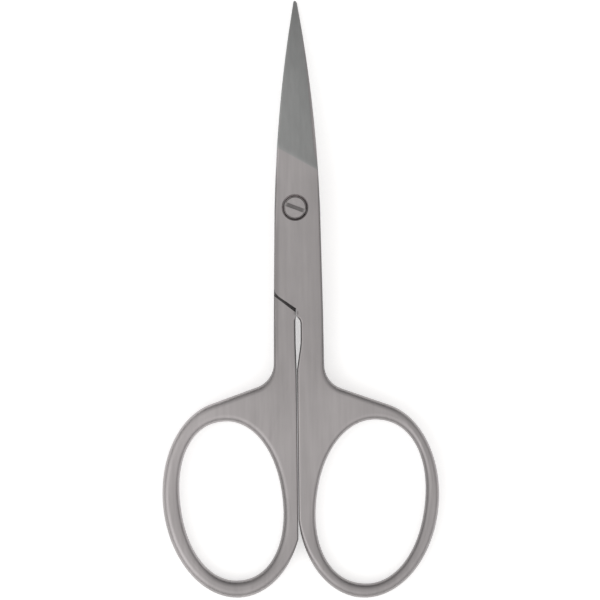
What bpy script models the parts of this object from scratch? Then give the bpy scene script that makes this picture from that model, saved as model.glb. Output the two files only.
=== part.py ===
# Curved nail scissors: two forged halves that cross at a slotted pivot screw.
#
# Lengths are in metres. +Y runs to the tips, +X to the right as seen from the screw's head, and +Z to
# the side that the head is on. The origin lies on the pivot's axis, at the flat back of the joint.
# The scissors are closed.
#
# Each half is drawn in its own outline frame, seen from its outer face with the tip up: x runs to the
# side that its finger ring is on, and z is the height over the lap plane, where the halves meet. The
# back half is drawn in the same way as the front one and turned half a turn about Y.

import math
from collections import namedtuple

import bmesh
import bpy
from mathutils import Matrix, Vector

MM = 0.001

# Overall
BLADE_LENGTH = 31.8 * MM      # pivot to tip, along the curve
HANDLE_LENGTH = 59.0 * MM     # pivot to the end of the front half's ring
RING_ENDS_STEP = 0.2 * MM     # the back half's ring ends this much higher
HALF_THICKNESS = 1.4 * MM     # one leaf of the lapped joint
LAP_GAP = 0.1 * MM            # between the two leaves
PIVOT_OFFSET = 0.34 * MM      # the pivot lies this far to the left of the blades' centre line

# Blade outline
TIP_RADIUS = 0.22 * MM
PIVOT_WIDTH = 6.88 * MM
BLADE_BULGE = 0.56 * MM        # how far each side bows out from a straight taper
SHOULDER_WIDTH = 7.44 * MM
SHANK_WIDTH = 7.6 * MM        # both shanks together
EDGE_SETBACK = 0.45 * MM      # the cutting edge lies this far inside the other blade's back
TIP_SETBACK = 0.08 * MM
SETBACK_RISE = 3.4 * MM       # the setback grows over this length where the grind starts

# Blade's curve, away from the side of the screw's head
BEND_START = 5.0 * MM
BEND_RADIUS = 80.0 * MM
BEND_STATIONS = 18

# Ground face of the blade
GRIND_BACK_Y = 9.1 * MM       # where the grind starts at the blade's back
GRIND_EDGE_Y = 5.6 * MM       # where it starts at the cutting edge
BACK_HEIGHT = 0.95 * MM
BACK_TIP_HEIGHT = 0.5 * MM
BACK_RUNOUT = 6.0 * MM
EDGE_HEIGHT = 0.32 * MM
EDGE_TIP_HEIGHT = 0.25 * MM
EDGE_RUNOUT = 12.0 * MM
GRIND_STEPS = 16

# Hollow on the blade's inner face, between a land along the back and one along the cutting edge
HOLLOW_DEPTH = 0.12 * MM
HOLLOW_START = 5.5 * MM
HOLLOW_LAND = 0.5 * MM
HOLLOW_STEPS = 4

# Shoulders, where a leaf ends against the other half's full thickness
SHOULDER_Y = -15.9 * MM
SHOULDER_ANGLE = math.radians(38.0)
SHOULDER_GAP_INNER = 0.5 * MM
SHOULDER_GAP_OUTER = 0.2 * MM
INNER_CORNER_RADIUS = 0.3 * MM
OUTER_CORNER_RADIUS = 2.0 * MM

# Between the handles
HANDLE_GAP = 0.07 * MM
FRONT_RELIEF = 0.6 * MM       # of the inner edges, under a short land where the halves meet
BACK_RELIEF = 0.1 * MM
RELIEF_LAND_Y = -16.4 * MM
RELIEF_START_Y = -17.1 * MM
RELIEF_END_Y = -20.5 * MM
RELIEF_TAPER = 4.0 * MM

# From the shank to the finger ring
RING_SHOULDER_SLOPE = math.radians(19.5)
RING_SHOULDER_RADIUS = 3.8 * MM
RING_THICKNESS = 2.5 * MM

# Rounded edges
LEAF_ROUNDING = 0.42 * MM
LEAF_END_ROUNDING = 0.1 * MM
GRIND_BACK_ROUNDING = 0.28 * MM
GRIND_BACK_SHARE = 1 / 3      # of the blade's half-width, which limits that rounding near the tip
CUTTING_EDGE_ROUNDING = 0.05 * MM
INNER_ROUNDING = 0.4 * MM
ROUNDING_GROWTH = 8.0 * MM    # below the relief's end the rounding grows to the ring's over this length
RING_BLEND = 1 / 8            # and past the flat where the rings meet, over this share of the outside

# Pivot screw
SCREW_DIAMETER = 2.2 * MM
SCREW_HEAD_DIAMETER = 3.4 * MM
SCREW_HEAD_LAND = 0.4 * MM    # the cylindrical rim above the head's cone
SCREW_HEAD_CHAMFER = 0.2 * MM
SCREW_HEAD_STANDS_OUT = 0.08 * MM
SCREW_SLOT_WIDTH = 0.6 * MM
SCREW_SLOT_DEPTH = 0.55 * MM
SCREW_SLOT_ANGLE = math.radians(-21.0)
SCREW_RUNNING_GAP = 0.06 * MM
SCREW_THREAD_GAP = 0.05 * MM
RECESS_GAP = 0.2 * MM
RECESS_CHAMFER = 0.12 * MM

# Facets on round shapes
RING_POINTS = 56
SCREW_SIDES = 32
CORNER_STEPS = 4
ROUNDING_STEPS = 3
MITRE_LIMIT = 0.5             # least cosine used to lengthen a normal at a corner
SHARP_ANGLE = math.radians(35.0)

Ring = namedtuple("Ring", "reach hole_width hole_length hole_tilt outer_tilt inner_wall outer_wall "
                          "end_wall top_wall meeting rounding")

# The rings differ a little: the front half's is larger and has the thinner outer wall. reach is how far
# the ring's end lies from the pivot. Widths and lengths are measured square to the scissors, tilts lean
# the top outwards, meeting is how much of the oval the flat where the rings meet takes off, and
# rounding is the radius of the ring's edges.
FRONT_RING = Ring(reach=HANDLE_LENGTH, hole_width=16.55 * MM, hole_length=24.7 * MM,
                  hole_tilt=math.radians(8.3), outer_tilt=math.radians(5.4), inner_wall=2.62 * MM,
                  outer_wall=2.08 * MM, end_wall=2.15 * MM, top_wall=2.7 * MM, meeting=0.1 * MM,
                  rounding=1.0 * MM)
BACK_RING = Ring(reach=HANDLE_LENGTH - RING_ENDS_STEP, hole_width=15.6 * MM, hole_length=24.0 * MM,
                 hole_tilt=math.radians(7.2), outer_tilt=math.radians(4.7), inner_wall=2.25 * MM,
                 outer_wall=2.6 * MM, end_wall=2.6 * MM, top_wall=3.1 * MM, meeting=0.7 * MM,
                 rounding=1.1 * MM)
RING_SQUARENESS = 2.14        # exponent of the hole's oval: 2 is an ellipse

# A half: side is 1 for the front and -1 for the back, offset is its centre line's x in its outline
# frame, and relief is how far its inner edge is cut back.
Half = namedtuple("Half", "side offset relief ring")
FRONT = Half(side=1, offset=PIVOT_OFFSET, relief=FRONT_RELIEF, ring=FRONT_RING)
BACK = Half(side=-1, offset=-PIVOT_OFFSET, relief=BACK_RELIEF, ring=BACK_RING)

# A point of an outline: rounding is its edge's radius, and low and high are the two faces' heights.
RimPoint = namedtuple("RimPoint", "x y rounding low high")

STEEL = (0.60, 0.585, 0.58, 1.0)
HALF_ROUGHNESS = 0.34
SCREW_ROUGHNESS = 0.28


def mix(a, b, share):
    return a + (b - a) * share


def smooth_share(value, start, end):
    share = min(1.0, max(0.0, (value - start) / (end - start)))
    return share * share * (3.0 - 2.0 * share)


# Outline of the closed scissors, about the blades' centre line

def half_width(y):
    if y >= 0.0:
        share = (BLADE_LENGTH - y) / BLADE_LENGTH
        taper = mix(TIP_RADIUS, PIVOT_WIDTH / 2, share)
        return taper + 4 * BLADE_BULGE * share * (1 - share)
    if y >= SHOULDER_Y:
        return mix(PIVOT_WIDTH, SHOULDER_WIDTH, y / SHOULDER_Y) / 2
    return mix(SHOULDER_WIDTH, SHANK_WIDTH, min(1.0, (y - SHOULDER_Y) / (RELIEF_END_Y - SHOULDER_Y))) / 2


def edge_setback(y):
    full = mix(EDGE_SETBACK, TIP_SETBACK, smooth_share(y, GRIND_BACK_Y, BLADE_LENGTH))
    return full * smooth_share(y, GRIND_EDGE_Y, GRIND_EDGE_Y + SETBACK_RISE)


# Ground face: it starts on a straight line across the leaf and thins to the cutting edge and the tip

def runout(distance, length):
    return max(0.0, 1.0 - distance / length) ** 2


def back_height(share):
    distance = share * (BLADE_LENGTH - GRIND_BACK_Y)
    steady = mix(BACK_HEIGHT, BACK_TIP_HEIGHT, share)
    return steady + (HALF_THICKNESS - BACK_HEIGHT) * runout(distance, BACK_RUNOUT)


def edge_height(share):
    distance = share * (BLADE_LENGTH - GRIND_EDGE_Y)
    steady = mix(EDGE_HEIGHT, EDGE_TIP_HEIGHT, share)
    return steady + (HALF_THICKNESS - EDGE_HEIGHT) * runout(distance, EDGE_RUNOUT)


# Finger ring

def oval_axes(width, length, tilt):
    """Semi-axes of the tilted ellipse that is this wide and this long."""
    across = (width / 2) ** 2
    along = (length / 2) ** 2
    c2 = math.cos(tilt) ** 2
    s2 = math.sin(tilt) ** 2
    return (math.sqrt((across * c2 - along * s2) / (c2 - s2)),
            math.sqrt((along * c2 - across * s2) / (c2 - s2)))


class Oval:
    """An ellipse or squarer oval, its long axis along y and leaning to +x by its tilt."""

    def __init__(self, x, y, width, length, tilt, squareness=2.0):
        self.x = x
        self.y = y
        self.a, self.b = oval_axes(width, length, tilt)
        self.tilt = tilt
        self.power = 2.0 / squareness

    def point(self, angle):
        c, s = math.cos(angle), math.sin(angle)
        u = self.a * math.copysign(abs(c) ** self.power, c)
        v = self.b * math.copysign(abs(s) ** self.power, s)
        return (self.x + u * math.cos(self.tilt) + v * math.sin(self.tilt),
                self.y - u * math.sin(self.tilt) + v * math.cos(self.tilt))

    def angle_heading(self, heading):
        """Where an ellipse, run anticlockwise, heads this way."""
        turned = heading + self.tilt
        return math.atan2(-math.cos(turned) / self.a, math.sin(turned) / self.b)

    def angle_at_left(self, x):
        """Where an ellipse crosses this x on its lower left side."""
        reach = math.hypot(self.a * math.cos(self.tilt), self.b * math.sin(self.tilt))
        phase = math.atan2(-self.b * math.sin(self.tilt), self.a * math.cos(self.tilt))
        return math.pi + math.acos(min(1.0, (self.x - x) / reach)) - phase


def ring_hole(ring):
    width, length = ring.hole_width, ring.hole_length
    return Oval(HANDLE_GAP / 2 + ring.inner_wall + width / 2, -ring.reach + ring.end_wall + length / 2,
                width, length, ring.hole_tilt, RING_SQUARENESS)


def ring_outside(ring):
    width = ring.meeting + ring.inner_wall + ring.hole_width + ring.outer_wall
    length = ring.end_wall + ring.hole_length + ring.top_wall
    return Oval(HANDLE_GAP / 2 - ring.meeting + width / 2, -ring.reach + length / 2,
                width, length, ring.outer_tilt)


# Outline of one half

def rounded_corner(before, corner, after, radius):
    """Points of the arc that replaces a corner."""
    corner = Vector(corner)
    back = (Vector(before) - corner).normalized()
    onward = (Vector(after) - corner).normalized()
    half_angle = back.angle(onward) / 2
    tangent = radius / math.tan(half_angle)
    centre = corner + (back + onward).normalized() * (radius / math.sin(half_angle))
    start = (corner + back * tangent - centre).normalized()
    end = (corner + onward * tangent - centre).normalized()
    return [centre + radius * start.slerp(end, k / CORNER_STEPS) for k in range(CORNER_STEPS + 1)]


def handle_rounding(half, y):
    grown = smooth_share(RELIEF_END_Y - y, 0.0, ROUNDING_GROWTH)
    return mix(LEAF_ROUNDING, half.ring.rounding, grown)


def rim_point(half, point, rounding):
    """The handle thins from the top of the ring's hole to the ring's middle."""
    hole_foot = -half.ring.reach + half.ring.end_wall
    hole_top = hole_foot + half.ring.hole_length
    thinned = smooth_share(-point[1], -hole_top, -(hole_top + hole_foot) / 2)
    high = mix(HALF_THICKNESS, RING_THICKNESS / 2, thinned)
    return RimPoint(point[0], point[1], rounding, -high, high)


def leaf_side(half, sign, y):
    return (half.offset + sign * half_width(y), y)


def handle_rim(half):
    """From the grind's start at the blade's back, down round the finger ring, to its start at the edge."""
    inner = HANDLE_GAP / 2
    relieved = inner + half.relief
    outside = ring_outside(half.ring)

    leaf_middle = leaf_side(half, -1, 0.0)
    outer_corner = leaf_side(half, -1, leaf_end_y(half.offset - SHOULDER_WIDTH / 2))
    inner_corner = (inner, leaf_end_y(inner))
    relief_land = (inner, RELIEF_LAND_Y)
    relief_start = (relieved, RELIEF_START_Y)
    relief_end = (relieved, RELIEF_END_Y)
    relief_foot = (inner, RELIEF_END_Y - RELIEF_TAPER)

    points = [rim_point(half, leaf_side(half, -1, GRIND_BACK_Y), LEAF_ROUNDING)]
    points.append(rim_point(half, leaf_side(half, -1, min(BEND_START, GRIND_BACK_Y / 2)), LEAF_ROUNDING))
    points.append(rim_point(half, leaf_middle, LEAF_ROUNDING))
    for point in rounded_corner(leaf_middle, outer_corner, inner_corner, OUTER_CORNER_RADIUS):
        points.append(rim_point(half, point, LEAF_END_ROUNDING))
    for point in rounded_corner(outer_corner, inner_corner, relief_land, INNER_CORNER_RADIUS):
        points.append(rim_point(half, point, LEAF_END_ROUNDING))
    points.append(rim_point(half, relief_land, LEAF_END_ROUNDING))
    for point in (relief_start, relief_end, relief_foot):
        points.append(rim_point(half, point, INNER_ROUNDING))

    first = outside.angle_at_left(inner)
    last = outside.angle_heading(math.pi - RING_SHOULDER_SLOPE) + 2 * math.pi
    steps = round(RING_POINTS * (last - first) / (2 * math.pi))
    for k in range(steps + 1):
        point = outside.point(mix(first, last, k / steps))
        grown = min(1.0, k / steps / RING_BLEND)
        points.append(rim_point(half, point, mix(INNER_ROUNDING, handle_rounding(half, point[1]), grown)))

    ring_top = outside.point(last)
    side_x = half.offset + half_width(RELIEF_END_Y)
    corner = (side_x, ring_top[1] + (ring_top[0] - side_x) * math.tan(RING_SHOULDER_SLOPE))
    shoulder = (side_x, SHOULDER_Y)
    for point in rounded_corner(ring_top, corner, shoulder, RING_SHOULDER_RADIUS):
        points.append(rim_point(half, point, handle_rounding(half, point[1])))
    points.append(rim_point(half, leaf_side(half, 1, SHOULDER_Y), LEAF_ROUNDING))
    points.append(rim_point(half, leaf_side(half, 1, 0.0), LEAF_ROUNDING))
    points.append(rim_point(half, leaf_side(half, 1, GRIND_EDGE_Y), LEAF_ROUNDING / 2))
    return points


def leaf_end_y(x):
    """The leaf's lower end, clear of the other half's shoulder wall by a gap that narrows outwards."""
    outward = min(1.0, max(0.0, -x / (SHOULDER_WIDTH / 2)))
    gap = mix(SHOULDER_GAP_INNER, SHOULDER_GAP_OUTER, outward)
    return SHOULDER_Y - x * math.tan(SHOULDER_ANGLE) + gap / math.cos(SHOULDER_ANGLE)


def blade_rim(half):
    """The blade's back from the grind's start to the tip, and its cutting edge, rung by rung."""
    cap_y = BLADE_LENGTH - TIP_RADIUS
    backs = []
    edges = []
    for k in range(1, GRIND_STEPS + 1):
        share = k / GRIND_STEPS
        y = mix(GRIND_BACK_Y, cap_y, share)
        x = half.offset - half_width(y)
        rounding = min(GRIND_BACK_ROUNDING, half_width(y) * GRIND_BACK_SHARE)
        backs.append(RimPoint(x, y, rounding, -HALF_THICKNESS, back_height(share)))
        y = mix(GRIND_EDGE_Y, cap_y, share)
        x = half.offset + half_width(y) - edge_setback(y)
        edges.append(RimPoint(x, y, CUTTING_EDGE_ROUNDING, -HALF_THICKNESS, edge_height(share)))
    return backs, edges


def tip_cap(back, edge):
    """Points round the tip, from the cutting edge to the blade's back."""
    centre_x = (back.x + edge.x) / 2
    radius = (edge.x - back.x) / 2
    points = []
    for k in range(1, CORNER_STEPS):
        share = k / CORNER_STEPS
        angle = math.pi * share
        points.append(RimPoint(centre_x + radius * math.cos(angle), edge.y + radius * math.sin(angle),
                               mix(edge.rounding, back.rounding, share), -HALF_THICKNESS,
                               mix(edge.high, back.high, share)))
    return points


# Solids

def inward_normals(rim):
    """Each point's unit inward normal, lengthened at corners so that the sides move in evenly."""
    normals = []
    for before, point, after in zip(rim[-1:] + rim[:-1], rim, rim[1:] + rim[:1]):
        into = (Vector((point.x - before.x, point.y - before.y))).normalized()
        out = (Vector((after.x - point.x, after.y - point.y))).normalized()
        left = (Vector((-into.y, into.x)) + Vector((-out.y, out.x))).normalized()
        normals.append(left / max(MITRE_LIMIT, left.dot(Vector((-out.y, out.x)))))
    return normals


def placed(half, x, y, z):
    """A point of a half's outline frame in the world, with the blade's curve."""
    height = half.side * z
    if y > BEND_START:
        turn = (y - BEND_START) / BEND_RADIUS
        radius = BEND_RADIUS + height
        y = BEND_START + radius * math.sin(turn)
        height = radius * math.cos(turn) - BEND_RADIUS
    return Vector((half.side * x, y, HALF_THICKNESS + height))


def rim_loops(mesh, half, rim):
    """The rounded side wall of an outline, as loops of vertices from its low face to its high one."""
    normals = inward_normals(rim)
    quarter = [k / ROUNDING_STEPS * math.pi / 2 for k in range(ROUNDING_STEPS + 1)]
    levels = [(angle, -1) for angle in quarter] + [(angle, 1) for angle in reversed(quarter)]
    loops = []
    for angle, end in levels:
        loop = []
        for point, normal in zip(rim, normals):
            inset = point.rounding * (1 - math.sin(angle))
            drop = point.rounding * (1 - math.cos(angle))
            z = point.high - drop if end > 0 else point.low + drop
            loop.append(mesh.verts.new(placed(half, point.x + normal.x * inset,
                                              point.y + normal.y * inset, z)))
        loops.append(loop)
    for lower, upper in zip(loops, loops[1:]):
        for k in range(len(rim)):
            mesh.faces.new((lower[k - 1], lower[k], upper[k], upper[k - 1]))
    return loops


def closed_edges(mesh, loop):
    return [edge_between(mesh, loop[k - 1], loop[k]) for k in range(len(loop))]


def edge_between(mesh, a, b):
    return mesh.edges.get((a, b)) or mesh.edges.new((a, b))


def fill_face(mesh, loop, hole_loop, face_rims, first):
    """Rungs across the blade, and a flat plate for the rest, from the handle rim's first point given on."""
    handle, rungs, cap = face_rims
    edge_verts = loop[handle - 1:handle + rungs]
    back_verts = [loop[0]] + loop[:handle + rungs + cap - 1:-1]
    for k in range(rungs):
        mesh.faces.new((back_verts[k], edge_verts[k], edge_verts[k + 1], back_verts[k + 1]))
    mesh.faces.new(loop[handle + rungs - 1:handle + rungs + cap + 1])
    for k in range(first):
        mesh.faces.new((loop[k], loop[k + 1], loop[handle - 1]))
    plate = [edge_between(mesh, loop[k - 1], loop[k]) for k in range(first + 1, handle)]
    plate.append(edge_between(mesh, loop[handle - 1], loop[first]))
    bmesh.ops.triangle_fill(mesh, use_beauty=True, edges=plate + closed_edges(mesh, hole_loop))


def half_blank(name, half):
    """The forging before its joint is cut: the whole outline at full thickness, with the blade ground."""
    mesh = bmesh.new()
    handle = handle_rim(half)
    backs, edges = blade_rim(half)
    cap = tip_cap(backs[-1], edges[-1])
    rim = handle + edges + cap + backs[::-1]
    loops = rim_loops(mesh, half, rim)

    hole = ring_hole(half.ring)
    hole_rim = []
    for k in range(RING_POINTS):
        point = hole.point(-2 * math.pi * k / RING_POINTS)
        hole_rim.append(rim_point(half, point, half.ring.rounding))
    hole_loops = rim_loops(mesh, half, hole_rim)

    face_rims = (len(handle), len(edges), len(cap))
    fill_face(mesh, loops[0], hole_loops[0], face_rims, 1)
    fill_face(mesh, loops[-1], hole_loops[-1], face_rims, 0)
    bmesh.ops.recalc_face_normals(mesh, faces=mesh.faces)
    return as_object(name, mesh)


def hollow_depth(y, share):
    """How deep the inner face lies under its lands, share of the way across the hollow."""
    fade_in = smooth_share(y, HOLLOW_START, 2 * HOLLOW_START)
    narrowing = max(0.0, half_width(y) - HOLLOW_LAND) / (half_width(HOLLOW_START) - HOLLOW_LAND)
    return HOLLOW_DEPTH * fade_in * narrowing * 4 * share * (1 - share)


def lap_row(half, y):
    """Points across the inner face at y, as (x, height over the lap plane)."""
    reach = SHOULDER_WIDTH
    width = max(half_width(y) - HOLLOW_LAND, edge_setback(y), HOLLOW_LAND / 5)
    row = [(-reach, LAP_GAP / 2)]
    for k in range(HOLLOW_STEPS + 1):
        share = k / HOLLOW_STEPS
        x = half.offset + mix(-width, width - edge_setback(y), share)
        row.append((x, LAP_GAP / 2 + hollow_depth(y, share)))
    row.append((reach, LAP_GAP / 2))
    return row


def lap_cutter(name, half):
    """What is cut away under the leaf and the blade, up to the shoulder that the other leaf closes on."""
    bottom = -2 * HALF_THICKNESS
    stations = [mix(BEND_START, BLADE_LENGTH, k / BEND_STATIONS) for k in range(BEND_STATIONS + 2)]

    mesh = bmesh.new()
    sections = []
    for y in [SHOULDER_Y] + stations:
        slant = math.tan(SHOULDER_ANGLE) if y == SHOULDER_Y else 0.0
        upper = []
        lower = []
        for x, z in lap_row(half, y):
            upper.append(mesh.verts.new(placed(half, x, y + x * slant, z)))
            lower.append(mesh.verts.new(placed(half, x, y + x * slant, bottom)))
        sections.append(upper + lower[::-1])
    for near, far in zip(sections, sections[1:]):
        for k in range(len(near)):
            mesh.faces.new((near[k - 1], near[k], far[k], far[k - 1]))
    mesh.faces.new(sections[0])
    mesh.faces.new(sections[-1])
    bmesh.ops.recalc_face_normals(mesh, faces=mesh.faces)
    return as_cutter(as_object(name, mesh))


def turned(name, profile):
    """A solid turned about the pivot's axis from (radius, z) pairs, bottom to top."""
    mesh = bmesh.new()
    rings = []
    for radius, z in profile:
        ring = []
        for k in range(SCREW_SIDES):
            angle = 2 * math.pi * k / SCREW_SIDES
            ring.append(mesh.verts.new((radius * math.cos(angle), radius * math.sin(angle), z)))
        rings.append(ring)
    for lower, upper in zip(rings, rings[1:]):
        for k in range(SCREW_SIDES):
            mesh.faces.new((lower[k - 1], lower[k], upper[k], upper[k - 1]))
    mesh.faces.new(rings[0][::-1])
    mesh.faces.new(rings[-1])
    return as_object(name, mesh)


def as_object(name, mesh):
    data = bpy.data.meshes.new(name)
    mesh.to_mesh(data)
    mesh.free()
    new = bpy.data.objects.new(name, data)
    bpy.context.scene.collection.objects.link(new)
    return new


def as_cutter(cutter):
    cutter.hide_render = True
    cutter.display_type = "WIRE"
    return cutter


def cut(body, cutter):
    modifier = body.modifiers.new(cutter.name, "BOOLEAN")
    modifier.operation = "DIFFERENCE"
    modifier.solver = "EXACT"
    modifier.object = cutter


def finish(body, roughness):
    material = bpy.data.materials.new(body.name + "_steel")
    material.use_nodes = True
    shader = material.node_tree.nodes["Principled BSDF"]
    shader.inputs["Base Color"].default_value = STEEL
    shader.inputs["Metallic"].default_value = 1.0
    shader.inputs["Roughness"].default_value = roughness
    body.data.materials.append(material)
    body.data.shade_smooth()
    body.data.set_sharp_from_angle(angle=SHARP_ANGLE)


# Screw, whose head's cone slopes at 45 degrees, and the holes that it sits in

TOP = 2 * HALF_THICKNESS
HEAD_TOP = TOP + SCREW_HEAD_STANDS_OUT
CONE_TOP = TOP - SCREW_HEAD_LAND
CONE_HEIGHT = (SCREW_HEAD_DIAMETER - SCREW_DIAMETER) / 2


def pivot_screw():
    shank = SCREW_DIAMETER / 2
    head = SCREW_HEAD_DIAMETER / 2
    chamfer = SCREW_HEAD_CHAMFER
    screw = turned("pivot_screw", [(shank - chamfer, 0.0), (shank, chamfer),
                                   (shank, CONE_TOP - CONE_HEIGHT), (head, CONE_TOP),
                                   (head, HEAD_TOP - chamfer), (head - chamfer, HEAD_TOP)])
    mesh = bmesh.new()
    bmesh.ops.create_cube(mesh, size=1.0)
    slot = as_cutter(as_object("slot_cutter", mesh))
    slot.data.transform(Matrix.Diagonal((2 * SCREW_HEAD_DIAMETER, SCREW_SLOT_WIDTH,
                                         2 * SCREW_SLOT_DEPTH, 1.0)))
    slot.location = (0.0, 0.0, HEAD_TOP)
    slot.rotation_euler = (0.0, 0.0, SCREW_SLOT_ANGLE)
    cut(screw, slot)
    return screw


def countersink_cutter():
    bore = SCREW_DIAMETER / 2 + SCREW_RUNNING_GAP
    recess = SCREW_HEAD_DIAMETER / 2 + RECESS_GAP
    seat_drop = SCREW_RUNNING_GAP * (math.sqrt(2) - 1)    # keeps the running gap square to the cone
    cone_foot = CONE_TOP - CONE_HEIGHT - seat_drop
    cone_head = cone_foot + recess - bore
    outside = TOP + HALF_THICKNESS
    rim = recess + RECESS_CHAMFER + outside - TOP
    return as_cutter(turned("countersink_cutter", [(bore, -HALF_THICKNESS), (bore, cone_foot),
                                                   (recess, cone_head), (recess, TOP - RECESS_CHAMFER),
                                                   (rim, outside)]))


def thread_cutter():
    hole = SCREW_DIAMETER / 2 + SCREW_THREAD_GAP
    return as_cutter(turned("thread_cutter", [(hole, -HALF_THICKNESS), (hole, TOP + HALF_THICKNESS)]))


def main():
    for old in list(bpy.data.objects):
        bpy.data.objects.remove(old, do_unlink=True)

    front = half_blank("front_half", FRONT)
    cut(front, lap_cutter("front_lap_cutter", FRONT))
    cut(front, countersink_cutter())
    finish(front, HALF_ROUGHNESS)

    back = half_blank("back_half", BACK)
    cut(back, lap_cutter("back_lap_cutter", BACK))
    cut(back, thread_cutter())
    finish(back, HALF_ROUGHNESS)

    finish(pivot_screw(), SCREW_ROUGHNESS)


main()
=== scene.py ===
# Curved nail scissors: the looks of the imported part, in metres and in its frame.
#
# Each half is rebuilt finer than its solid, from the same sizes: seen from its outer face with the tip up,
# x runs to the side of its finger ring, and z is the height over the lap plane, where the halves meet.
# The back half's outline is drawn in the same way as the front one's and turned half a turn about Y, and
# then both blades are bent the same way. The relief's two corners are rounded here only.

import math
from collections import namedtuple
from functools import reduce

import bmesh
import bpy
from mathutils import Matrix, Vector


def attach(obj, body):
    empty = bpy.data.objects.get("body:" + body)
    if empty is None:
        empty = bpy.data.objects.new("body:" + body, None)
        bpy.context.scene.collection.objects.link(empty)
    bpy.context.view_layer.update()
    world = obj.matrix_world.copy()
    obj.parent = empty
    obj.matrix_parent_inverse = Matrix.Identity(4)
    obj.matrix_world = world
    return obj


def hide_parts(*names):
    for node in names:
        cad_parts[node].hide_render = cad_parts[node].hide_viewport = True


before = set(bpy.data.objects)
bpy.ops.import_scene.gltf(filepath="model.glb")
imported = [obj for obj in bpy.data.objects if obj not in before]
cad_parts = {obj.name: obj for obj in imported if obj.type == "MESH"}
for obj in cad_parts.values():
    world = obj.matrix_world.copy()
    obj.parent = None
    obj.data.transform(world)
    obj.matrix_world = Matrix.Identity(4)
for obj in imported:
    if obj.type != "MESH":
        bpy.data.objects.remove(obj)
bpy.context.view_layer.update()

MM = 0.001

# Overall
BLADE_LENGTH = 31.8 * MM      # pivot to tip, along the curve
HANDLE_LENGTH = 59.0 * MM     # pivot to the end of the front half's ring
RING_ENDS_STEP = 0.2 * MM     # the back half's ring ends this much higher
HALF_THICKNESS = 1.4 * MM     # one leaf of the lapped joint
LAP_GAP = 0.1 * MM            # between the two leaves
PIVOT_OFFSET = 0.34 * MM      # the pivot lies this far to the left of the blades' centre line

# Blade outline
TIP_RADIUS = 0.22 * MM
PIVOT_WIDTH = 6.88 * MM
BLADE_BULGE = 0.56 * MM       # how far each side bows out from a straight taper
SHOULDER_WIDTH = 7.44 * MM
SHANK_WIDTH = 7.6 * MM        # both shanks together
EDGE_SETBACK = 0.45 * MM      # the cutting edge lies this far inside the other blade's back
TIP_SETBACK = 0.08 * MM
SETBACK_RISE = 3.4 * MM       # the setback grows over this length where the grind starts

# Blade's curve, away from the side of the screw's head
BEND_START = 5.0 * MM
BEND_RADIUS = 80.0 * MM
BEND_STATIONS = 36

# Ground face of the blade
GRIND_BACK_Y = 9.1 * MM       # where the grind starts at the blade's back
GRIND_EDGE_Y = 5.6 * MM       # where it starts at the cutting edge
BACK_HEIGHT = 0.95 * MM
BACK_TIP_HEIGHT = 0.5 * MM
BACK_RUNOUT = 6.0 * MM
EDGE_HEIGHT = 0.32 * MM
EDGE_TIP_HEIGHT = 0.25 * MM
EDGE_RUNOUT = 12.0 * MM
GRIND_STEPS = 48

# Hollow on the blade's inner face, between a land along the back and one along the cutting edge
HOLLOW_DEPTH = 0.12 * MM
HOLLOW_START = 5.5 * MM
HOLLOW_FULL = 2 * HOLLOW_START
HOLLOW_LAND = 0.5 * MM
HOLLOW_LEAST = HOLLOW_LAND / 5  # half the hollow's width near the tip
HOLLOW_STEPS = 10

# Shoulders, where a leaf ends against the other half's full thickness
SHOULDER_Y = -15.9 * MM
SHOULDER_ANGLE = math.radians(38.0)
SHOULDER_GAP_INNER = 0.5 * MM
SHOULDER_GAP_OUTER = 0.2 * MM
INNER_CORNER_RADIUS = 0.3 * MM
OUTER_CORNER_RADIUS = 2.0 * MM

# Between the handles
HANDLE_GAP = 0.07 * MM
FRONT_RELIEF = 0.6 * MM       # of the inner edges, under a short land where the halves meet
BACK_RELIEF = 0.1 * MM
RELIEF_LAND_Y = -16.4 * MM
RELIEF_START_Y = -17.1 * MM
RELIEF_END_Y = -20.5 * MM
RELIEF_TAPER = 4.0 * MM
RELIEF_START_RADIUS = 1.0 * MM  # these two corners are sharp in the solids
RELIEF_END_RADIUS = 10.0 * MM

# From the shank to the finger ring
RING_SHOULDER_SLOPE = math.radians(19.5)
RING_SHOULDER_RADIUS = 3.8 * MM
RING_THICKNESS = 2.5 * MM

# Rounded edges
LEAF_ROUNDING = 0.42 * MM
LEAF_END_ROUNDING = 0.1 * MM
GRIND_EDGE_ROUNDING = LEAF_ROUNDING / 2
GRIND_BACK_ROUNDING = 0.28 * MM
GRIND_BACK_SHARE = 1 / 3      # of the blade's half-width, which limits that rounding near the tip
CUTTING_EDGE_ROUNDING = 0.05 * MM
INNER_ROUNDING = 0.4 * MM
ROUNDING_GROWTH = 8.0 * MM    # below the relief's end the rounding grows to the ring's over this length
RING_BLEND = 1 / 8            # and past the flat where the rings meet, over this share of the outside

# Pivot screw
SCREW_DIAMETER = 2.2 * MM
SCREW_HEAD_DIAMETER = 3.4 * MM
SCREW_HEAD_LAND = 0.4 * MM    # the cylindrical rim above the head's cone
SCREW_HEAD_CHAMFER = 0.2 * MM
SCREW_HEAD_STANDS_OUT = 0.08 * MM
SCREW_SLOT_WIDTH = 0.6 * MM
SCREW_SLOT_DEPTH = 0.55 * MM
SCREW_SLOT_ANGLE = math.radians(-21.0)
SCREW_RUNNING_GAP = 0.06 * MM
SCREW_THREAD_GAP = 0.05 * MM
RECESS_GAP = 0.2 * MM         # between the head and the wide end of the countersink
RECESS_CHAMFER = 0.12 * MM

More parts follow.
